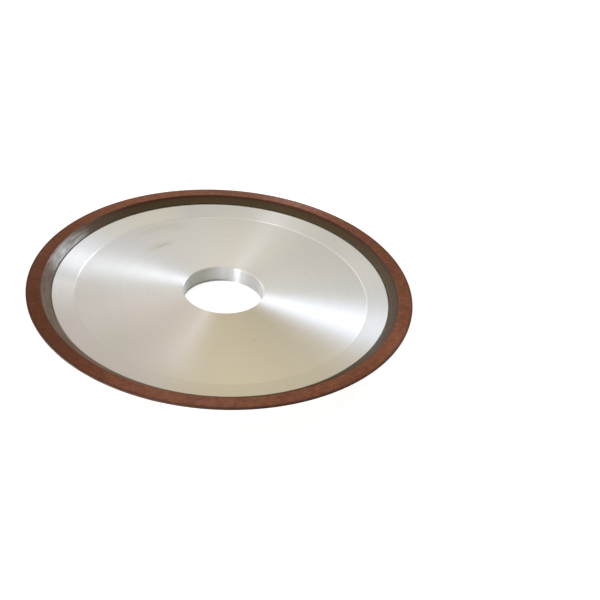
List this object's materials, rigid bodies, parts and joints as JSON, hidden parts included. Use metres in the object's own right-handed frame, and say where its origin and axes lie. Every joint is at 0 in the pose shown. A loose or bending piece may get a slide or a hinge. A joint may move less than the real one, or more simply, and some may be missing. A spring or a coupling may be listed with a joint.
{
  "type": "diamond grinding wheel",
  "caption": "Dish-type resin-bond diamond grinding wheel with a turned aluminium body, a flared rim, a flat annular abrasive face and a central bore.",
  "frame": {"origin": "centre of the hub's back face, on the spindle axis", "axes": "+Z along the spindle axis from the hub's back face towards the abrasive face; X and Y lie in the back face and are interchangeable, because the wheel is a body of revolution"},
  "size_m": [0.15, 0.15, 0.012],
  "materials": {
    "aluminium_body": "fine turned, satin, with a circular lay",
    "bond_base_ring": "turned phenolic bond without diamond, dark olive brown, slightly glossy",
    "diamond_abrasive_ring": "resin bond with fine diamond grit, red-brown, matt on the face and smoother on the walls"
  },
  "bodies": {
    "root": {"aluminium_body": "aluminium_body", "bond_base_ring": "bond_base_ring", "diamond_abrasive_ring": "diamond_abrasive_ring"}
  },
  "joints": []
}
